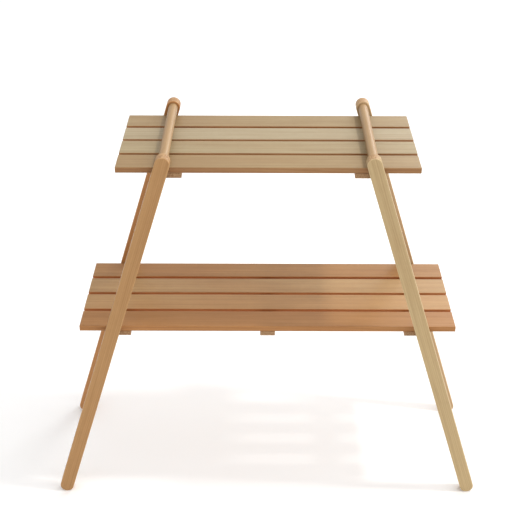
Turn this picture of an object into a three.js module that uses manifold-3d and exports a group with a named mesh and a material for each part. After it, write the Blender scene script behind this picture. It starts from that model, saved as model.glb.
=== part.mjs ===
// A free-standing two-tier slatted wooden stand.
//
// Two side frames lean in towards each other. Each is a front and a rear leg, joined by a round
// top rail and two round rungs glued into blind bores. Two slatted shelves sit between the front
// and rear legs and rest on the rungs. Battens under each shelf hold its slats together and stop
// just inboard of the rungs, so a shelf can't slide sideways. Screws go in from below.
//
// Millimetres. X runs along the shelves, Y from front to rear, Z up. The origin is on the floor,
// under the middle of the stand. The front is at -Y.

import * as THREE from "three";
import { RoundedBoxGeometry } from "three/addons/geometries/RoundedBoxGeometry.js";
import { mergeVertices } from "three/addons/utils/BufferGeometryUtils.js";
import Module from "manifold-3d";

// Legs
const legWidth = 30; // across the frame, also the diameter of the round ends
const legDepth = 25; // front to rear
const legLength = 852; // between the centres of the two round ends
const legLean = THREE.MathUtils.degToRad(17.4); // from upright, towards the middle
const footSpread = 926; // between the centres of the left and right round foot ends

// Rails and rungs
const railDiameter = 20;
const rungDiameter = 20;
const socketDepth = 15; // how far rails and rungs go into the legs

// Shelves
const railToSlats = 7; // clear space between the top slats and the rails above them
const lowerShelfHeight = 437; // floor to the top of the slats
const topOverhang = 84.3; // from the centre of a rung to the end of the slats
const lowerOverhang = 67.1;
const slatsPerShelf = 4;
const slatWidth = 62;
const slatThickness = 12.5;
const slatGap = 9;
const shelfToLeg = 2.5; // between a shelf's front or rear edge and the leg beside it

// Battens under the shelves
const battenWidth = 32;
const battenThickness = 10.7;
const topBattenToRung = 6; // clear space between a batten and the rung outboard of it
const lowerBattenToRung = 1;

// Screws, countersunk from below: batten screws hold the slats on the battens, and rung screws
// hold a shelf on its rungs
const screwShank = 3.5;
const screwHead = 7;
const screwHeadDepth = 2.2;
const screwHeadSink = 0.5; // head below the surface that it goes in from
const screwCover = 4.5; // slat left above a screw's tip
const rungScrewInset = 1; // slats in from the front and rear edges to the slats screwed to a rung

// Edges and fits
const legEdge = 1.6;
const slatEdge = 1.4;
const battenEdge = 1.2;
const dowelEdge = 1;
const fitGap = 0.3; // left between a piece and whatever it touches or sits in

// Smoothness of round forms
const roundEndSteps = 18;
const dowelSides = 28;
const screwSides = 12;
const edgeSteps = 2;

// Sizes that follow
const shelfDepth = slatsPerShelf * slatWidth + (slatsPerShelf - 1) * slatGap;
const legInnerFace = shelfDepth / 2 + shelfToLeg;
const legCentreY = legInnerFace + legDepth / 2;
const footCentreX = footSpread / 2;
const footCentreZ = legWidth / 2;
const railHeight = footCentreZ + legLength * Math.cos(legLean);
const topShelfHeight = railHeight - railDiameter / 2 - railToSlats;
const screwBite = slatThickness - screwCover;
const dowelLength = 2 * (legInnerFace + socketDepth);

const sides = [
  { name: "left", sign: -1 },
  { name: "right", sign: 1 },
];
const rows = [
  { name: "front", sign: -1 },
  { name: "rear", sign: 1 },
];

const wasm = await Module();
wasm.setup();

const legWood = wood(0xb98d5c, 0.58);
const railWood = wood(0xc8a67e, 0.55);
const topSlatWood = wood(0xb99a78, 0.6);
const lowerSlatWood = wood(0xb0885f, 0.6);
const battenWood = wood(0x9a6a42, 0.65);
const screwSteel = new THREE.MeshStandardMaterial({ color: 0x9a978f, roughness: 0.4, metalness: 1 });

function wood(color, roughness) {
  return new THREE.MeshStandardMaterial({ color, roughness, metalness: 0 });
}

// A closed geometry as a manifold solid.
function solid(geometry) {
  const bare = geometry.clone();
  bare.deleteAttribute("normal");
  bare.deleteAttribute("uv");
  const merged = mergeVertices(bare, 1e-4);
  const mesh = new wasm.Mesh({
    numProp: 3,
    vertProperties: new Float32Array(merged.attributes.position.array),
    triVerts: new Uint32Array(merged.index.array),
  });
  return new wasm.Manifold(mesh);
}

// A geometry with holes cut out of it.
function cut(geometry, holes) {
  let result = solid(geometry);
  for (const hole of holes) {
    result = result.subtract(solid(hole));
  }
  const mesh = result.getMesh();
  const carved = new THREE.BufferGeometry();
  carved.setAttribute("position", new THREE.BufferAttribute(mesh.vertProperties, 3));
  carved.setIndex(new THREE.BufferAttribute(mesh.triVerts, 1));
  return carved.toNonIndexed();
}

function named(name, geometry, material) {
  geometry.computeVertexNormals();
  const mesh = new THREE.Mesh(geometry, material);
  mesh.name = name;
  return mesh;
}

// The X of a leg's centre line at a height, on the right side.
function legCentreX(height) {
  return footCentreX - (height - footCentreZ) * Math.tan(legLean);
}

// A leg's own frame has Z along the leg from the centre of its foot end, and Y across both legs
// of the side frame. Its bores open on the face that looks at the other leg.
function legGeometry(rowSign, boreHeights) {
  const half = legWidth / 2 - legEdge;
  const outline = new THREE.Shape();
  outline.absarc(0, 0, half, Math.PI, 2 * Math.PI, false);
  outline.absarc(0, legLength, half, 0, Math.PI, false);
  const bar = new THREE.ExtrudeGeometry(outline, {
    depth: legDepth - 2 * legEdge,
    curveSegments: roundEndSteps,
    bevelEnabled: true,
    bevelThickness: legEdge,
    bevelSize: legEdge,
    bevelSegments: edgeSteps,
  });
  bar.rotateX(Math.PI / 2);
  bar.translate(0, legDepth / 2 - legEdge, 0);
  const bores = boreHeights.map(({ along, diameter }) => {
    const depth = socketDepth + fitGap;
    const bore = new THREE.CylinderGeometry(
      diameter / 2 + fitGap, diameter / 2 + fitGap, 2 * depth, dowelSides,
    );
    bore.translate(0, -rowSign * (legDepth / 2), along);
    return bore;
  });
  return cut(bar, bores);
}

// A round bar along Y with eased ends, centred on the origin.
function dowelGeometry(diameter, length, holes) {
  const radius = diameter / 2;
  const profile = [
    new THREE.Vector2(0, -length / 2),
    new THREE.Vector2(radius - dowelEdge, -length / 2),
    new THREE.Vector2(radius, -length / 2 + dowelEdge),
    new THREE.Vector2(radius, length / 2 - dowelEdge),
    new THREE.Vector2(radius - dowelEdge, length / 2),
    new THREE.Vector2(0, length / 2),
  ];
  return cut(new THREE.LatheGeometry(profile, dowelSides), holes);
}

// A screw standing on its head, its tip up, with the head's flat face at the origin.
function screwGeometry(length) {
  const profile = [
    new THREE.Vector2(0, 0),
    new THREE.Vector2(screwHead / 2, 0),
    new THREE.Vector2(screwShank / 2, screwHeadDepth),
    new THREE.Vector2(screwShank / 2, length - screwShank),
    new THREE.Vector2(0, length),
  ];
  const screw = new THREE.LatheGeometry(profile, screwSides);
  screw.rotateX(Math.PI / 2);
  return screw;
}

// The countersunk hole that such a screw goes through, from below the surface at the given place.
function screwHole(length, x, y, surfaceZ) {
  const clear = fitGap;
  const below = -2 * screwHeadSink;
  const profile = [
    new THREE.Vector2(0, below),
    new THREE.Vector2(screwHead / 2 + clear, below),
    new THREE.Vector2(screwHead / 2 + clear, screwHeadSink),
    new THREE.Vector2(screwShank / 2 + clear, screwHeadSink + screwHeadDepth),
    new THREE.Vector2(screwShank / 2 + clear, screwHeadSink + length + clear),
    new THREE.Vector2(0, screwHeadSink + length + clear),
  ];
  const hole = new THREE.LatheGeometry(profile, screwSides);
  hole.rotateX(Math.PI / 2);
  hole.translate(x, y, surfaceZ);
  return hole;
}

// The height of a rung's centre: the rung's top carries the slats.
function rungHeight(shelf) {
  return shelf.height - slatThickness - fitGap - rungDiameter / 2;
}

const stand = new THREE.Group();

const shelves = [
  { name: "top", height: topShelfHeight, overhang: topOverhang, middleBatten: false,
    battenToRung: topBattenToRung, slatMaterial: topSlatWood },
  { name: "lower", height: lowerShelfHeight, overhang: lowerOverhang, middleBatten: true,
    battenToRung: lowerBattenToRung, slatMaterial: lowerSlatWood },
];

// Side frames
for (const side of sides) {
  const frame = new THREE.Group();
  frame.position.set(side.sign * footCentreX, 0, footCentreZ);
  frame.rotation.y = -side.sign * legLean;
  stand.add(frame);

  const along = (height) => (height - footCentreZ) / Math.cos(legLean);
  const bores = [
    { along: legLength, diameter: railDiameter },
    ...shelves.map((shelf) => ({ along: along(rungHeight(shelf)), diameter: rungDiameter })),
  ];
  for (const row of rows) {
    const leg = named(`leg_${row.name}_${side.name}`, legGeometry(row.sign, bores), legWood);
    leg.position.y = row.sign * legCentreY;
    frame.add(leg);
  }

  const rail = named(
    `top_rail_${side.name}`, dowelGeometry(railDiameter, dowelLength, []), railWood,
  );
  rail.position.z = legLength;
  frame.add(rail);
}

// Shelves with their rungs, battens and screws
for (const shelf of shelves) {
  const slatCentreZ = shelf.height - slatThickness / 2;
  const slatUnder = shelf.height - slatThickness;
  const battenCentreZ = slatUnder - fitGap - battenThickness / 2;
  const battenUnder = slatUnder - fitGap - battenThickness;
  const rungZ = rungHeight(shelf);
  const rungX = legCentreX(rungZ);
  const slatLength = 2 * (rungX + shelf.overhang);
  const battenX = rungX - rungDiameter / 2 - shelf.battenToRung - battenWidth / 2;
  const slatY = (index) => -shelfDepth / 2 + slatWidth / 2 + index * (slatWidth + slatGap);

  const battens = [
    { name: "left", x: -battenX },
    ...(shelf.middleBatten ? [{ name: "middle", x: 0 }] : []),
    { name: "right", x: battenX },
  ];
  const rungUnder = rungZ - rungDiameter / 2;
  const battenScrewLength = slatUnder + screwBite - battenUnder - screwHeadSink;
  const rungScrewLength = slatUnder + screwBite - rungUnder - screwHeadSink;
  const rungSlats = [rungScrewInset, slatsPerShelf - 1 - rungScrewInset];

  for (let index = 0; index < slatsPerShelf; index += 1) {
    const holes = battens.map(
      (batten) => screwHole(battenScrewLength, batten.x, slatY(index), battenUnder),
    );
    if (rungSlats.includes(index)) {
      for (const side of sides) {
        holes.push(screwHole(rungScrewLength, side.sign * rungX, slatY(index), rungUnder));
      }
    }
    for (const hole of holes) {
      hole.translate(0, -slatY(index), -slatCentreZ);
    }
    const board = new RoundedBoxGeometry(
      slatLength, slatWidth, slatThickness, edgeSteps, slatEdge,
    );
    const slat = named(`${shelf.name}_slat_${index + 1}`, cut(board, holes), shelf.slatMaterial);
    slat.position.set(0, slatY(index), slatCentreZ);
    stand.add(slat);
  }

  for (const batten of battens) {
    const holes = [];
    for (let index = 0; index < slatsPerShelf; index += 1) {
      holes.push(screwHole(battenScrewLength, 0, slatY(index), -battenThickness / 2));
      const screw = named(
        `${shelf.name}_batten_screw_${batten.name}_${index + 1}`,
        screwGeometry(battenScrewLength),
        screwSteel,
      );
      screw.position.set(batten.x, slatY(index), battenUnder + screwHeadSink);
      stand.add(screw);
    }
    const bar = new RoundedBoxGeometry(
      battenWidth, shelfDepth, battenThickness, edgeSteps, battenEdge,
    );
    const mesh = named(`${shelf.name}_batten_${batten.name}`, cut(bar, holes), battenWood);
    mesh.position.set(batten.x, 0, battenCentreZ);
    stand.add(mesh);
  }

  for (const side of sides) {
    const holes = rungSlats.map(
      (index) => screwHole(rungScrewLength, 0, slatY(index), -rungDiameter / 2),
    );
    const rung = named(
      `${shelf.name}_rung_${side.name}`,
      dowelGeometry(rungDiameter, dowelLength, holes),
      railWood,
    );
    rung.position.set(side.sign * rungX, 0, rungZ);
    stand.add(rung);
    for (const index of rungSlats) {
      const screw = named(
        `${shelf.name}_rung_screw_${side.name}_${index + 1}`,
        screwGeometry(rungScrewLength),
        screwSteel,
      );
      screw.position.set(side.sign * rungX, slatY(index), rungUnder + screwHeadSink);
      stand.add(screw);
    }
  }
}

export default stand;
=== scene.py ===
"""The looks of a two-tier slatted wooden stand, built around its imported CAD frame.

Every wooden piece is a new mesh in the place of its CAD node: eased bars for the slats and
battens, round-ended legs with blind bores, and turned rails and rungs. Metres, row frame, +Z up.
"""
import math

import bmesh
import bpy
from mathutils import Matrix, Vector


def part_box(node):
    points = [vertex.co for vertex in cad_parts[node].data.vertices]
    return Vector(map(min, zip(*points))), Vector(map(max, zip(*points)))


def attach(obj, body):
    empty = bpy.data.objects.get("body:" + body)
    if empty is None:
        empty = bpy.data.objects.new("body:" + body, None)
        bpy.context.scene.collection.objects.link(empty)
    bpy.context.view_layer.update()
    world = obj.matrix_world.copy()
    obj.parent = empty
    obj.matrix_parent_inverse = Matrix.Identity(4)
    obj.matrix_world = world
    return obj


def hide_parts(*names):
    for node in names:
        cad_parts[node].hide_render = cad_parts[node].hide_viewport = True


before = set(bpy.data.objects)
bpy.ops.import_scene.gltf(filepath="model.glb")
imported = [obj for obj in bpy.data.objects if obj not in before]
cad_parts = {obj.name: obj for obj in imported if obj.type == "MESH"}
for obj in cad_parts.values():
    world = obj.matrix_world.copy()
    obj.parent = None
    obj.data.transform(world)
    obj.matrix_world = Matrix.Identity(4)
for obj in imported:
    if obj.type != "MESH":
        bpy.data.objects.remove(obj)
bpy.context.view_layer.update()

# Sizes shared with the CAD frame
LEG_WIDTH = 0.030
DOWEL_RADIUS = 0.010
SCREW_SHANK = 0.0035
SCREW_HEAD = 0.007
SCREW_HEAD_DEPTH = 0.0022
SCREW_SINK = 0.0005
FIT_GAP = 0.0003
BORE_RADIUS = DOWEL_RADIUS + FIT_GAP

# Eased edges
LEG_EASE = 0.0016
SLAT_EASE = 0.0014
BATTEN_EASE = 0.0012
DOWEL_EASE = 0.0010
ARC_STEPS = 5
SUPPORTS = (0.0006, 0.0020, 0.0045)  # extra loops beside an eased edge
SMALLEST_RADIUS = 0.00005
BAR_STEP = 0.03  # between the loops along a bar
DOWEL_SIDES = 64
SCREW_SIDES = 32
ROUND_END_STEPS = 28
SHARP_ANGLE = math.radians(35)
WORN_AND_HIGHLIT_WIDTH = 0.0035  # how far in from an edge it is rubbed paler and carries a painted highlight
END_FALLOFF = 1.5  # how fast end grain fades as a face turns away from the grain

SIDES = {"left": -1, "right": 1}
SHELVES = {"top": ("left", "right"), "lower": ("left", "middle", "right")}
SLATS = (1, 2, 3, 4)
RUNG_SLATS = (2, 3)


# ---------------------------------------------------------------- mesh tools

def centre(node):
    low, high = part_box(node)
    return (Vector(low) + Vector(high)) / 2


def size(node):
    low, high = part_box(node)
    return Vector(high) - Vector(low)


def skin(name, loops):
    """A mesh from a list of equally long closed loops, joined in order and capped."""
    bm = bmesh.new()
    rings = [[bm.verts.new(point) for point in loop] for loop in loops]
    count = len(rings[0])
    for low, high in zip(rings, rings[1:]):
        for i in range(count):
            j = (i + 1) % count
            bm.faces.new((low[i], low[j], high[j], high[i]))
    bm.faces.new(list(reversed(rings[0])))
    bm.faces.new(rings[-1])
    bmesh.ops.recalc_face_normals(bm, faces=bm.faces)
    mesh = bpy.data.meshes.new(name)
    bm.to_mesh(mesh)
    bm.free()
    return mesh


def eased_stations(half, ease):
    """(position, inset) pairs along a bar of that half length: round over, supports, even steps."""
    arc = [i / ARC_STEPS * math.pi / 2 for i in range(ARC_STEPS + 1)]
    start = [(-half + ease * (1 - math.sin(a)), ease * (1 - math.cos(a))) for a in reversed(arc)]
    start += [(-half + ease + s, 0.0) for s in SUPPORTS]
    inner = half - ease - SUPPORTS[-1]
    steps = max(1, round(2 * inner / BAR_STEP))
    middle = [(-inner + 2 * inner * i / steps, 0.0) for i in range(1, steps)]
    return start + middle + [(-position, inset) for position, inset in reversed(start)]


def eased_section(half_width, half_thickness, ease, inset):
    """A rectangle with round corners and support points, shrunk by inset, as (v, w) points."""
    radius = max(ease - inset, SMALLEST_RADIUS)
    points = []
    corners = ((1, 1), (-1, 1), (-1, -1), (1, -1))
    for k, (sv, sw) in enumerate(corners):
        centre_v = sv * (half_width - ease)
        centre_w = sw * (half_thickness - ease)
        first = k * math.pi / 2
        for i in range(ARC_STEPS + 1):
            a = first + i / ARC_STEPS * math.pi / 2
            points.append((centre_v + radius * math.cos(a), centre_w + radius * math.sin(a)))
        end_v, end_w = points[-1]
        along_v = k % 2 == 0
        half = (half_width if along_v else half_thickness) - ease
        offsets = [s for s in SUPPORTS if s < half]
        signs = (-sv, 0) if along_v else (0, -sw)
        marks = offsets + [2 * half - s for s in reversed(offsets)]
        for mark in marks:
            points.append((end_v + signs[0] * mark, end_w + signs[1] * mark))
    return points


def bar_mesh(name, length, width, thickness, ease):
    """A bar along local X with every edge eased."""
    loops = []
    for u, inset in eased_stations(length / 2, ease):
        section = eased_section(width / 2, thickness / 2, ease, inset)
        loops.append([(u, v, w) for v, w in section])
    return skin(name, loops)


def turned_mesh(name, profile, sides):
    """A solid of revolution about local X from (x, radius) pairs."""
    loops = []
    for x, radius in profile:
        turn = [2 * math.pi * i / sides for i in range(sides)]
        loops.append([(x, radius * math.cos(a), radius * math.sin(a)) for a in turn])
    return skin(name, loops)


def dowel_mesh(name, length, radius):
    profile = [(u, radius - inset) for u, inset in eased_stations(length / 2, DOWEL_EASE)]
    return turned_mesh(name, profile, DOWEL_SIDES)


def leg_mesh(name, length, width, depth):
    """A bar along local X with half-round ends, local Z through it from face to face."""
    half = width / 2
    straight = max(2, round(length / BAR_STEP))
    anchors = []
    for i in range(ROUND_END_STEPS + 1):
        a = -math.pi / 2 + math.pi * i / ROUND_END_STEPS
        anchors.append((length / 2, math.cos(a), math.sin(a)))
    for i in range(1, straight):
        anchors.append((length / 2 - length * i / straight, 0.0, 1.0))
    for i in range(ROUND_END_STEPS + 1):
        a = math.pi / 2 + math.pi * i / ROUND_END_STEPS
        anchors.append((-length / 2, math.cos(a), math.sin(a)))
    for i in range(1, straight):
        anchors.append((-length / 2 + length * i / straight, 0.0, -1.0))

    def loop(inset, w):
        reach = half - inset
        return [(u + reach * nu, reach * nv, w) for u, nu, nv in anchors]

    stations = eased_stations(depth / 2, LEG_EASE)
    loops = [loop(LEG_EASE + s, -depth / 2) for s in reversed(SUPPORTS)]
    loops += [loop(inset, w) for w, inset in stations]
    loops += [loop(LEG_EASE + s, depth / 2) for s in SUPPORTS]
    return skin(name, loops)


def carve(mesh, cutters):
    """The mesh with the cutter meshes taken out of it."""
    if not cutters:
        return mesh
    bm = bmesh.new()
    for cutter in cutters:
        bm.from_mesh(cutter)
    tool_mesh = bpy.data.meshes.new("cutters")
    bm.to_mesh(tool_mesh)
    bm.free()
    tool = bpy.data.objects.new("cutters", tool_mesh)
    blank = bpy.data.objects.new("blank", mesh)
    for thing in (tool, blank):
        bpy.context.collection.objects.link(thing)
    cut = blank.modifiers.new("cut", "BOOLEAN")
    cut.operation = "DIFFERENCE"
    cut.solver = "EXACT"
    cut.object = tool
    graph = bpy.context.evaluated_depsgraph_get()
    result = bpy.data.meshes.new_from_object(blank.evaluated_get(graph))
    result.name = mesh.name
    for thing in (tool, blank):
        bpy.data.objects.remove(thing)
    for used in [tool_mesh, mesh, *cutters]:
        bpy.data.meshes.remove(used)
    return result


def axes(u, v, w, at):
    """The matrix that takes local X, Y and Z to the directions u, v and w, at a place."""
    matrix = Matrix((u, v, w)).transposed().to_4x4()
    matrix.translation = at
    return matrix


def bar_edge_distance(u, v, w, half):
    """How far a point on a bar is from the nearest edge: its second smallest depth under a face."""
    depths = sorted(h - abs(c) for h, c in zip(half, (u, v, w)))
    return depths[1]


OUTER_FLANK = 0.3  # how red a narrow side face on the outside is, against 1 for one facing a gap between slats, where the deeper red is partly painted shade
SHELF_EDGES = {"top": 0.65, "lower": 0.15}  # the same for the front and rear edge of each shelf


def finish_mesh(mesh, matrix, edge_distance, flank_and_gap_shades=(0.0, 0.0)):
    """Writes the grain coordinates, end grain, side-face red and pale edges of each vertex, and places
    the mesh. The pale edges are partly rubbing and partly a painted highlight. flanks says how red the
    piece's faces towards local -Y and +Y are; in a gap between slats that red is partly painted shade."""
    grain, end, flank_and_gap_shade, worn_and_highlit = [], [], [], []
    for vertex, normal in zip(mesh.vertices, mesh.vertex_normals):
        u, v, w = vertex.co
        grain += [u, v, w]
        end.append(abs(normal.vector.x) ** END_FALLOFF)
        sideways = normal.vector.y
        flank_and_gap_shade.append(sideways ** 2 * flank_and_gap_shades[sideways > 0])
        wear_and_highlight = 1 - edge_distance(u, v, w) / WORN_AND_HIGHLIT_WIDTH if edge_distance else 0.0
        worn_and_highlit.append(min(1.0, max(0.0, wear_and_highlight)))
    mesh.attributes.new("grain", "FLOAT_VECTOR", "POINT").data.foreach_set("vector", grain)
    for name, values in (("end_grain", end), ("flank_and_gap_shade", flank_and_gap_shade), ("worn_and_highlit", worn_and_highlit)):
        mesh.attributes.new(name, "FLOAT", "POINT").data.foreach_set("value", values)
    mesh.polygons.foreach_set("use_smooth", [True] * len(mesh.polygons))
    mesh.set_sharp_from_angle(angle=SHARP_ANGLE)
    mesh.transform(matrix)


def add_piece(name, mesh, material, nodes):
    piece = bpy.data.objects.new(name, mesh)
    mesh.materials.clear()
    mesh.materials.append(material)
    bpy.context.collection.objects.link(piece)
    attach(piece, "root")
    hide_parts(*nodes)
    return piece


# ---------------------------------------------------------------- materials

def linear(red, green, blue):
    """An sRGB colour from 0 to 255 as a linear RGBA value."""
    def channel(value):
        value /= 255
        return value / 12.92 if value <= 0.04045 else ((value + 0.055) / 1.055) ** 2.4
    return (channel(red), channel(green), channel(blue), 1.0)


class Nodes:
    """Short calls for building a material's node tree."""

    def __init__(self, name):
        self.material = bpy.data.materials.new(name)
        self.material.use_nodes = True
        self.tree = self.material.node_tree
        self.shader = self.tree.nodes["Principled BSDF"]

    def link(self, source, target):
        self.tree.links.new(source, target)

    def feed(self, socket, value):
        if isinstance(value, bpy.types.NodeSocket):
            self.link(value, socket)
        else:
            socket.default_value = value

    def add(self, kind, **settings):
        node = self.tree.nodes.new(kind)
        for key, value in settings.items():
            setattr(node, key, value)
        return node

    def math(self, operation, a, b=0.0, clamp=False):
        node = self.add("ShaderNodeMath", operation=operation, use_clamp=clamp)
        self.feed(node.inputs[0], a)
        self.feed(node.inputs[1], b)
        return node.outputs[0]

    def vector(self, operation, a, b=(0.0, 0.0, 0.0)):
        node = self.add("ShaderNodeVectorMath", operation=operation)
        self.feed(node.inputs[0], a)
        self.feed(node.inputs[1], b)
        return node.outputs["Value" if operation == "LENGTH" else "Vector"]

    def noise(self, at, stretch, detail=2.0, roughness=0.5, distortion=0.0):
        """Noise from 0 to 1 whose cells are 1 / stretch metres along each grain axis."""
        node = self.add("ShaderNodeTexNoise")
        self.link(self.vector("MULTIPLY", at, stretch), node.inputs["Vector"])
        node.inputs["Scale"].default_value = 1.0
        node.inputs["Detail"].default_value = detail
        node.inputs["Roughness"].default_value = roughness
        node.inputs["Distortion"].default_value = distortion
        return node.outputs["Fac"]

    def ramp(self, value, low, high, smooth=True):
        """0 below low, 1 above high."""
        node = self.add("ShaderNodeMapRange", clamp=True)
        node.interpolation_type = "SMOOTHSTEP" if smooth else "LINEAR"
        self.feed(node.inputs["Value"], value)
        node.inputs["From Min"].default_value = low
        node.inputs["From Max"].default_value = high
        return node.outputs["Result"]

    def mix(self, amount, a, b, blend="MIX"):
        node = self.add("ShaderNodeMix", data_type="RGBA", blend_type=blend)
        self.feed(node.inputs["Factor"], amount)
        self.feed(node.inputs["A"], a)
        self.feed(node.inputs["B"], b)
        return node.outputs["Result"]

    def attribute(self, name, output):
        node = self.add("ShaderNodeAttribute", attribute_name=name)
        return node.outputs[output]

    def swing(self, value, amount):
        """A value from 0 to 1 turned into one that swings by that amount about 0."""
        return self.math("MULTIPLY", self.math("SUBTRACT", value, 0.5), amount)

    def relief(self, height, strength, distance):
        node = self.add("ShaderNodeBump")
        node.inputs["Strength"].default_value = strength
        node.inputs["Distance"].default_value = distance
        self.link(height, node.inputs["Height"])
        self.link(node.outputs["Normal"], self.shader.inputs["Normal"])


def shade(colour, factors):
    """A linear colour with each channel scaled."""
    return tuple(min(1.0, c * k) for c, k in zip(colour[:3], factors)) + (1.0,)


# Red deepening of the narrow side faces: partly the flat grain's own tone, partly painted shade in the
# gaps between slats
FLANK_AND_GAP_SHADE_TINT = (0.98, 0.62, 0.45, 1.0)
END_PALE = linear(184, 150, 110)
END_DEEP = linear(138, 100, 66)

# How a wood's middle tone is scaled for its pale grain, deep grain and rosy clouds, its pale grain
# for rubbed edges that also carry a painted highlight, and its deep grain for pores
PALE_SCALE = (1.22, 1.30, 1.38)
DEEP_SCALE = (0.74, 0.66, 0.58)
ROSY_SCALE = (1.06, 0.90, 0.80)
WORN_AND_HIGHLIGHT_SCALE = (1.4, 1.5, 1.6)
PORE_SCALE = (0.5, 0.42, 0.36)

# Noise cells per metre along, across and through the grain
WANDER_CELLS = (1.3, 8.0, 8.0)
RIPPLE_CELLS = (8.0, 50.0, 50.0)
FIBRE_CELLS = (14.0, 900.0, 900.0)
STREAK_CELLS = (2.2, 130.0, 130.0)
PORE_CELLS = (70.0, 2400.0, 2400.0)
CLOUD_CELLS = (3.5, 14.0, 14.0)
FLAME_CELLS = (30.0, 26.0, 26.0)
ROSY_CELLS = (2.6, 11.0, 11.0)
SPECK_CELLS = (60.0, 420.0, 420.0)

SEED_STEP = (0.37, 0.11, 0.07)  # metres between the noise of one piece and of the next
PITH_DISTANCE = 0.16  # from the middle of a piece to the centre of its growth rings
RING_WANDER = 0.03  # metres that the rings stray by, slowly and then finely
RING_RIPPLE = 0.0014
LATE_WOOD = (0.3, 0.86)  # where in a ring its dark late wood begins and is darkest
RING_END = 0.88  # where the late wood starts to end
WEAKEST_RING = 0.25  # against 1 for the strongest

# How deep the tone is between pale and deep grain, and how much each pattern moves it
MIDDLE_DEPTH = 0.38
FIBRE_SWING = 0.6
STREAK_SWING = 1.0
FLAME_SHARE = 0.35
ROSY_SHARE = 0.8
PORE_STRENGTH = 0.3
END_STRENGTH = 0.85

WOOD_ROUGHNESS = 0.46
FIBRE_ROUGHNESS = 0.25
END_ROUGHNESS = 0.15
WORN_GLOSS = 0.08
WOOD_SPECULAR = 0.24
COAT_WEIGHT = 0.04
COAT_ROUGHNESS = 0.38
WOOD_BUMP = 0.35
WOOD_BUMP_DEPTH = 0.00012


def growth_rings(nodes, local, at, ring, tilt):
    """How much late wood there is, from 0 to 1, in wide circles round a distant pith that wander
    slowly along the grain."""
    lean = math.radians(tilt)
    pith = (0.0, PITH_DISTANCE * math.sin(lean), -PITH_DISTANCE * math.cos(lean))
    wander = nodes.noise(at, WANDER_CELLS, 2.0)
    ripple = nodes.noise(at, RIPPLE_CELLS, 2.0)
    across = nodes.vector("MULTIPLY", nodes.vector("ADD", local, pith), (0.0, 1.0, 1.0))
    radius = nodes.vector("LENGTH", across)
    radius = nodes.math("ADD", radius, nodes.math("MULTIPLY", wander, RING_WANDER))
    radius = nodes.math("ADD", radius, nodes.math("MULTIPLY", ripple, RING_RIPPLE))
    rings = nodes.math("DIVIDE", radius, ring)
    phase = nodes.math("FRACT", rings)
    fade = nodes.math("SUBTRACT", 1.0, nodes.ramp(phase, RING_END, 1.0))
    late = nodes.math("MULTIPLY", nodes.ramp(phase, *LATE_WOOD), fade)
    strength = nodes.add("ShaderNodeTexWhiteNoise", noise_dimensions="1D")
    nodes.link(nodes.math("FLOOR", rings), strength.inputs["W"])
    uneven = nodes.math("MULTIPLY", strength.outputs["Value"], 1 - WEAKEST_RING)
    return nodes.math("MULTIPLY", late, nodes.math("ADD", WEAKEST_RING, uneven))


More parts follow.
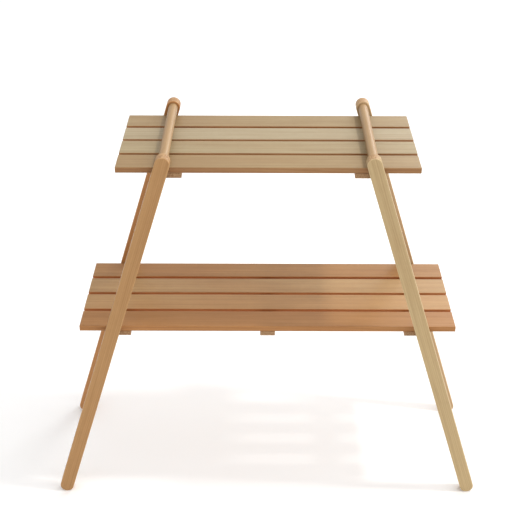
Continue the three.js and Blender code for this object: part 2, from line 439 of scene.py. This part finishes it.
def wood(name, tone, seed, ring=0.0042, tilt=70.0, figure=0.5, contrast=0.4, end_light=0.85, wear_and_highlight=0.15):
    """Straight-grained satin wood of that middle tone. ring is the growth rings' spacing and tilt
    the angle that they make with the wide face, in degrees. figure is how cloudy the tone is and
    contrast how dark the late wood. end_light scales the end grain, and wear is how far handled
    edges have paled, partly from rubbing and partly as a painted highlight on the eased edges."""
    nodes = Nodes(name)
    tone = linear(*tone)
    pale = shade(tone, PALE_SCALE)
    deep = shade(tone, DEEP_SCALE)
    local = nodes.attribute("grain", "Vector")
    at = nodes.vector("ADD", local, tuple(step * seed for step in SEED_STEP))

    # Growth rings, fine fibres, streaks, short pores and broad clouds of tone
    late = growth_rings(nodes, local, at, ring, tilt)
    fibre = nodes.noise(at, FIBRE_CELLS, 4.0, 0.6)
    streak = nodes.noise(at, STREAK_CELLS, 4.0, 0.6)
    pore = nodes.ramp(nodes.noise(at, PORE_CELLS, 1.0), 0.66, 0.74)
    cloud = nodes.noise(at, CLOUD_CELLS, 3.0, 0.55, 0.8)
    flame = nodes.noise(at, FLAME_CELLS, 2.0, 0.5, 1.4)
    depth = nodes.math("ADD", MIDDLE_DEPTH, nodes.math("MULTIPLY", late, contrast))
    depth = nodes.math("ADD", depth, nodes.swing(fibre, FIBRE_SWING))
    depth = nodes.math("ADD", depth, nodes.swing(streak, STREAK_SWING))
    depth = nodes.math("ADD", depth, nodes.swing(cloud, figure))
    depth = nodes.math("ADD", depth, nodes.swing(flame, FLAME_SHARE * figure), clamp=True)
    colour = nodes.mix(depth, pale, deep)
    rosy = nodes.ramp(nodes.noise(at, ROSY_CELLS, 2.0, 0.5, 0.5), 0.42, 0.68)
    rosy_colour = nodes.mix(depth, shade(tone, ROSY_SCALE), deep)
    colour = nodes.mix(nodes.math("MULTIPLY", rosy, ROSY_SHARE * figure), colour, rosy_colour)
    colour = nodes.mix(nodes.math("MULTIPLY", pore, PORE_STRENGTH), colour, shade(deep, PORE_SCALE))

    # The narrow side faces are redder and deeper than the wide faces: partly the flat grain's own tone,
    # partly painted shade, strongest where they face into the gaps between slats.
    flank_and_gap_shade = nodes.ramp(nodes.attribute("flank_and_gap_shade", "Fac"), 0.0, 1.0, smooth=False)
    colour = nodes.mix(flank_and_gap_shade, colour, nodes.mix(1.0, colour, FLANK_AND_GAP_SHADE_TINT, "MULTIPLY"))

    # End grain is duller and speckled by cut fibres, and handled edges are paler: partly rubbed, partly a
    # painted highlight where the eased edges catch the light.
    end = nodes.ramp(nodes.attribute("end_grain", "Fac"), 0.15, 0.9)
    speck = nodes.ramp(nodes.noise(at, SPECK_CELLS, 3.0, 0.6), 0.36, 0.64)
    cut = nodes.mix(speck, shade(END_DEEP, (end_light,) * 3), shade(END_PALE, (end_light,) * 3))
    colour = nodes.mix(nodes.math("MULTIPLY", end, END_STRENGTH), colour, cut)
    worn_and_highlit = nodes.ramp(nodes.attribute("worn_and_highlit", "Fac"), 0.45, 1.0)
    edge = nodes.math("MULTIPLY", worn_and_highlit, nodes.ramp(streak, 0.25, 0.6))
    colour = nodes.mix(nodes.math("MULTIPLY", edge, wear_and_highlight), colour, shade(pale, WORN_AND_HIGHLIGHT_SCALE))
    nodes.link(colour, nodes.shader.inputs["Base Color"])

    roughness = nodes.math("ADD", WOOD_ROUGHNESS, nodes.swing(fibre, FIBRE_ROUGHNESS))
    roughness = nodes.math("ADD", roughness, nodes.math("MULTIPLY", end, END_ROUGHNESS))
    roughness = nodes.math("SUBTRACT", roughness, nodes.math("MULTIPLY", edge, WORN_GLOSS))
    nodes.link(roughness, nodes.shader.inputs["Roughness"])
    nodes.shader.inputs["Specular IOR Level"].default_value = WOOD_SPECULAR
    nodes.shader.inputs["Coat Weight"].default_value = COAT_WEIGHT
    nodes.shader.inputs["Coat Roughness"].default_value = COAT_ROUGHNESS

    height = nodes.math("ADD", nodes.math("MULTIPLY", fibre, 0.5), nodes.math("MULTIPLY", late, 0.35))
    height = nodes.math("SUBTRACT", height, nodes.math("MULTIPLY", pore, 0.7))
    nodes.relief(height, WOOD_BUMP, WOOD_BUMP_DEPTH)
    return nodes.material


STEEL_PALE = linear(176, 172, 162)
STEEL_DULL = linear(132, 130, 124)
STAIN_CELLS = (400.0, 400.0, 400.0)
STEEL_ROUGHNESS = 0.28
STAIN_ROUGHNESS = 0.22
STEEL_BUMP = 0.2
STEEL_BUMP_DEPTH = 0.00005


def steel(name):
    """Plain zinc-grey steel with a fine uneven stain."""
    nodes = Nodes(name)
    place = nodes.add("ShaderNodeTexCoord").outputs["Object"]
    stain = nodes.noise(place, STAIN_CELLS, 3.0)
    nodes.link(nodes.mix(stain, STEEL_PALE, STEEL_DULL), nodes.shader.inputs["Base Color"])
    nodes.shader.inputs["Metallic"].default_value = 1.0
    roughness = nodes.math("ADD", STEEL_ROUGHNESS, nodes.math("MULTIPLY", stain, STAIN_ROUGHNESS))
    nodes.link(roughness, nodes.shader.inputs["Roughness"])
    nodes.relief(stain, STEEL_BUMP, STEEL_BUMP_DEPTH)
    return nodes.material


# ---------------------------------------------------------------- slats, battens and screws

# The middle tone of each slat, from the front row to the rear row.
SLAT_TONES = {
    "top": ((153, 127, 89), (159, 140, 106), (163, 146, 116), (153, 129, 93)),
    "lower": ((166, 118, 70), (178, 138, 92), (174, 138, 95), (163, 120, 75)),
}
SLAT_TILTS = (64, 73, 82, 91)  # of the growth rings in each slat, in degrees
BATTEN_TILT = 20
BATTEN_TONE = (164, 122, 86)
RUNG_TONE = (170, 130, 90)
RAIL_TONE = (166, 134, 94)

# The first place in the noise of each kind of piece, so that no two pieces share their grain
SHELF_SEEDS = 100
BATTEN_SEEDS = 10
RUNG_SEEDS = 20
LEG_SEEDS = 40
RAIL_SEEDS = 50

CUTTER_OVERSHOOT = 0.002  # how far a hole's cutter stands out of the surface
HEAD_EASE = 0.0002
SCREW_POINT = 0.0001  # the radius of the tip's flat
RECESS_OVERSHOOT = 0.001
RECESS_DEPTH = 0.0013
RECESS_MOUTH = (0.0019, 0.00045)  # the half length and half width of a recess's arm at the head
RECESS_FLOOR = (0.0004, 0.0003)  # and at its bottom


def screw_cutter(name, length):
    """The countersunk hole of a screw that stands along local X from the surface at 0."""
    profile = [
        (-CUTTER_OVERSHOOT, SCREW_HEAD / 2 + FIT_GAP),
        (SCREW_SINK, SCREW_HEAD / 2 + FIT_GAP),
        (SCREW_SINK + SCREW_HEAD_DEPTH, SCREW_SHANK / 2 + FIT_GAP),
        (SCREW_SINK + length + FIT_GAP, SCREW_SHANK / 2 + FIT_GAP),
    ]
    return turned_mesh(name, profile, SCREW_SIDES)


def screw_mesh(name, length):
    """A countersunk screw along local X, its flat head at 0, with a plain cross recess."""
    profile = [
        (0.0, SCREW_HEAD / 2 - HEAD_EASE),
        (HEAD_EASE, SCREW_HEAD / 2),
        (2 * HEAD_EASE, SCREW_HEAD / 2),
        (SCREW_HEAD_DEPTH, SCREW_SHANK / 2),
        (length - SCREW_SHANK, SCREW_SHANK / 2),
        (length - 2 * SCREW_POINT, 3 * SCREW_POINT),
        (length, SCREW_POINT),
    ]
    screw = turned_mesh(name, profile, SCREW_SIDES)
    slots = []
    for turn in (0, 90):
        arm = bmesh.new()
        bmesh.ops.create_cube(arm, size=1.0)
        for vert in arm.verts:
            deep = vert.co.x > 0
            reach, half_width = RECESS_FLOOR if deep else RECESS_MOUTH
            x = RECESS_DEPTH if deep else -RECESS_OVERSHOOT
            vert.co = (x, math.copysign(reach, vert.co.y), math.copysign(half_width, vert.co.z))
        slot = bpy.data.meshes.new("slot")
        arm.to_mesh(slot)
        arm.free()
        slot.transform(Matrix.Rotation(math.radians(turn), 4, "X"))
        slots.append(slot)
    for slot in slots:
        screw = carve(screw, [slot])
    return screw


ALONG_X = (Vector((1, 0, 0)), Vector((0, 1, 0)), Vector((0, 0, 1)))
ALONG_Y = (Vector((0, 1, 0)), Vector((-1, 0, 0)), Vector((0, 0, 1)))
STANDING = (Vector((0, 0, 1)), Vector((0, 1, 0)), Vector((-1, 0, 0)))


def screw_nodes():
    names = []
    for shelf, battens in SHELVES.items():
        names += [f"{shelf}_batten_screw_{b}_{i}" for b in battens for i in SLATS]
        names += [f"{shelf}_rung_screw_{s}_{i}" for s in SIDES for i in RUNG_SLATS]
    return names


def holes_for(node, matrix, nodes):
    """The hole cutters of those screws, in the local frame of the piece at the matrix."""
    cutters = []
    for screw in nodes:
        low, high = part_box(screw)
        at = Vector(((low[0] + high[0]) / 2, (low[1] + high[1]) / 2, low[2] - SCREW_SINK))
        cutter = screw_cutter(node, high[2] - low[2])
        cutter.transform(axes(*STANDING, at))
        cutter.transform(matrix.inverted())
        cutters.append(cutter)
    return cutters


def add_bar(node, directions, ease, material, screws, flank_and_gap_shades=(OUTER_FLANK, OUTER_FLANK)):
    dims = size(node)
    length, width = (dims.x, dims.y) if directions is ALONG_X else (dims.y, dims.x)
    matrix = axes(*directions, centre(node))
    mesh = bar_mesh(node, length, width, dims.z, ease)
    mesh = carve(mesh, holes_for(node, matrix, screws))
    half = (length / 2, width / 2, dims.z / 2)
    finish_mesh(mesh, matrix, lambda u, v, w: bar_edge_distance(u, v, w, half), flank_and_gap_shades)
    return add_piece(f"{node}_wood", mesh, material, [node])


def add_dowel(node, material, screws):
    matrix = axes(*ALONG_Y, centre(node))
    mesh = dowel_mesh(node, size(node).y, DOWEL_RADIUS)
    mesh = carve(mesh, holes_for(node, matrix, screws))
    finish_mesh(mesh, matrix, None)
    return add_piece(f"{node}_wood", mesh, material, [node])


def add_shelf(shelf, battens, seed):
    for i in SLATS:
        screws = [f"{shelf}_batten_screw_{b}_{i}" for b in battens]
        if i in RUNG_SLATS:
            screws += [f"{shelf}_rung_screw_{s}_{i}" for s in SIDES]
        node = f"{shelf}_slat_{i}"
        board = wood(node, SLAT_TONES[shelf][i - 1], seed + i, tilt=SLAT_TILTS[i - 1])
        # Side faces that look into a gap between slats take the full red, partly painted shade; the
        # shelf's front and rear edges take less
        front = SHELF_EDGES[shelf] if i == SLATS[0] else 1.0
        rear = SHELF_EDGES[shelf] if i == SLATS[-1] else 1.0
        add_bar(node, ALONG_X, SLAT_EASE, board, screws, (front, rear))
    for k, b in enumerate(battens):
        screws = [f"{shelf}_batten_screw_{b}_{i}" for i in SLATS]
        node = f"{shelf}_batten_{b}"
        board = wood(node, BATTEN_TONE, seed + BATTEN_SEEDS + k, tilt=BATTEN_TILT)
        add_bar(node, ALONG_Y, BATTEN_EASE, board, screws)
    for k, side in enumerate(SIDES):
        screws = [f"{shelf}_rung_screw_{side}_{i}" for i in RUNG_SLATS]
        node = f"{shelf}_rung_{side}"
        board = wood(node, RUNG_TONE, seed + RUNG_SEEDS + k)
        add_dowel(node, board, screws)


def add_screws():
    metal = steel("screw_steel")
    for node in screw_nodes():
        low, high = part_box(node)
        mesh = screw_mesh(node, high[2] - low[2])
        mesh.polygons.foreach_set("use_smooth", [True] * len(mesh.polygons))
        mesh.set_sharp_from_angle(angle=SHARP_ANGLE)
        at = Vector(((low[0] + high[0]) / 2, (low[1] + high[1]) / 2, low[2]))
        mesh.transform(axes(*STANDING, at))
        add_piece(f"{node}_steel", mesh, metal, [node])


# ---------------------------------------------------------------- side frames

LEG_TONES = {
    "front_left": (170, 128, 82),
    "front_right": (180, 154, 112),
    "rear_left": (173, 122, 75),
    "rear_right": (188, 157, 118),
}


def leg_frame(node, side):
    """The matrix and lengths of a leg: local X up the leg, local Z from front to rear."""
    low, high = (Vector(corner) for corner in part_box(node))
    radius = LEG_WIDTH / 2
    outer, inner = (low.x, high.x) if side < 0 else (high.x, low.x)
    foot = Vector((outer - side * radius, 0, low.z + radius))
    top = Vector((inner + side * radius, 0, high.z - radius))
    middle = (foot + top) / 2
    middle.y = (low.y + high.y) / 2
    up = (top - foot).normalized()
    back = Vector((0, 1, 0))
    matrix = axes(up, back.cross(up), back, middle)
    return matrix, (top - foot).length, high.y - low.y


def add_leg(row, side_name, seed):
    side = SIDES[side_name]
    node = f"leg_{row}_{side_name}"
    matrix, length, depth = leg_frame(node, side)
    mesh = leg_mesh(node, length, LEG_WIDTH, depth)
    cutters = []
    for rod in (f"top_rail_{side_name}", f"top_rung_{side_name}", f"lower_rung_{side_name}"):
        middle = centre(rod)
        reach = size(rod).y / 2 + FIT_GAP
        bore = turned_mesh(rod, [(-reach, BORE_RADIUS), (reach, BORE_RADIUS)], DOWEL_SIDES)
        bore.transform(axes(*ALONG_Y, middle))
        bore.transform(matrix.inverted())
        cutters.append(bore)
    mesh = carve(mesh, cutters)
    half = length / 2
    radius = LEG_WIDTH / 2

    def edge_distance(u, v, w):
        past = max(abs(u) - half, 0.0)
        from_outline = radius - math.hypot(past, v)
        from_face = depth / 2 - abs(w)
        return max(from_outline, from_face)

    finish_mesh(mesh, matrix, edge_distance)
    tone = LEG_TONES[f"{row}_{side_name}"]
    # The legs' edges are paled strongly, mostly a painted highlight where the eased edges catch the
    # light, partly rubbing
    board = wood(node, tone, seed, tilt=80, figure=0.3, contrast=0.3, end_light=1.1, wear_and_highlight=0.6)
    add_piece(f"{node}_wood", mesh, board, [node])


def add_side_frames():
    for k, side in enumerate(SIDES):
        for j, row in enumerate(("front", "rear")):
            add_leg(row, side, LEG_SEEDS + 2 * k + j)
        node = f"top_rail_{side}"
        board = wood(node, RAIL_TONE, RAIL_SEEDS + k, figure=0.3)
        add_dowel(node, board, [])


# ---------------------------------------------------------------- stage, light and camera

FLOOR_SIZE = 12.0
FLOOR_DROP = 0.0002  # how far the floor lies under the feet
FLOOR_COLOUR = (0.98, 0.98, 0.98, 1.0)


def add_stage():
    """A plain white floor."""
    bm = bmesh.new()
    bmesh.ops.create_grid(bm, x_segments=1, y_segments=1, size=FLOOR_SIZE)
    mesh = bpy.data.meshes.new("floor")
    bm.to_mesh(mesh)
    bm.free()
    floor = bpy.data.objects.new("floor", mesh)
    floor.location.z = -FLOOR_DROP
    bpy.context.collection.objects.link(floor)
    nodes = Nodes("floor")
    nodes.shader.inputs["Base Color"].default_value = FLOOR_COLOUR
    nodes.shader.inputs["Roughness"].default_value = 0.95
    nodes.shader.inputs["Specular IOR Level"].default_value = 0.1
    mesh.materials.append(nodes.material)


def add_area_light(name, place, width, power, colour):
    """A square light that faces the middle of the object."""
    light = bpy.data.lights.new(name, "AREA")
    light.shape = "SQUARE"
    light.size = width
    light.energy = power
    light.color = colour
    lamp = bpy.data.objects.new(name, light)
    lamp.location = place
    lamp.rotation_euler = (Vector(LIGHT_AIM) - Vector(place)).to_track_quat("-Z", "Y").to_euler()
    bpy.context.collection.objects.link(lamp)


# The white studio's brightness in the direction of the left and of the right
SKY_LEFT = 0.68
SKY_RIGHT = 1.33
WHITE = (1.0, 1.0, 1.0)

LIGHT_AIM = (0.0, 0.0, 0.6)
KEY_PLACE = (1.78, -0.25, 3.9)
KEY_WIDTH = 0.3
KEY_POWER = 49.0
KEY_COLOUR = (1.0, 0.985, 0.96)
PANEL_PLACE = (1.15, 2.0, 1.75)
PANEL_WIDTH = 0.9
PANEL_POWER = 16.0


def add_light():
    """A white studio with a small key light up on the right and a broad panel behind on the right,
    whose sheen pales the satin wood on that side."""
    world = bpy.data.worlds.new("studio")
    world.use_nodes = True
    tree = world.node_tree
    background = tree.nodes["Background"]
    background.inputs["Color"].default_value = (*WHITE, 1.0)
    direction = tree.nodes.new("ShaderNodeTexCoord").outputs["Generated"]
    split = tree.nodes.new("ShaderNodeSeparateXYZ")
    tree.links.new(direction, split.inputs["Vector"])
    sideways = tree.nodes.new("ShaderNodeMapRange")
    sideways.inputs["From Min"].default_value = -1.0
    sideways.inputs["To Min"].default_value = SKY_LEFT
    sideways.inputs["To Max"].default_value = SKY_RIGHT
    tree.links.new(split.outputs["X"], sideways.inputs["Value"])
    tree.links.new(sideways.outputs["Result"], background.inputs["Strength"])
    bpy.context.scene.world = world
    add_area_light("key", KEY_PLACE, KEY_WIDTH, KEY_POWER, KEY_COLOUR)
    add_area_light("panel", PANEL_PLACE, PANEL_WIDTH, PANEL_POWER, WHITE)


CAMERA_PLACE = Vector((-0.0088, -2.1274, 1.7213))
CAMERA_YAW = 0.0014
CAMERA_PITCH = 0.5173
CAMERA_ROLL = 0.0035
CAMERA_LENS = 74.7
SENSOR_WIDTH = 36.0
FARTHEST_SEEN = 50.0


def add_camera():
    yaw, pitch, roll = CAMERA_YAW, CAMERA_PITCH, CAMERA_ROLL
    forward = Vector((math.sin(yaw) * math.cos(pitch), math.cos(yaw) * math.cos(pitch), -math.sin(pitch)))
    right = Vector((math.cos(yaw), -math.sin(yaw), 0.0))
    up = right.cross(forward)
    turned_right = math.cos(roll) * right + math.sin(roll) * up
    turned_up = math.cos(roll) * up - math.sin(roll) * right
    data = bpy.data.cameras.new("camera")
    data.sensor_width = SENSOR_WIDTH
    data.lens = CAMERA_LENS
    data.clip_end = FARTHEST_SEEN
    camera = bpy.data.objects.new("camera", data)
    camera.matrix_world = axes(turned_right, turned_up, -forward, CAMERA_PLACE)
    bpy.context.collection.objects.link(camera)
    bpy.context.scene.camera = camera


add_camera()
add_light()
add_stage()
add_side_frames()
for level, (shelf_name, batten_names) in enumerate(SHELVES.items()):
    add_shelf(shelf_name, batten_names, SHELF_SEEDS * level)
add_screws()
bpy.context.scene.view_settings.view_transform = "Standard"
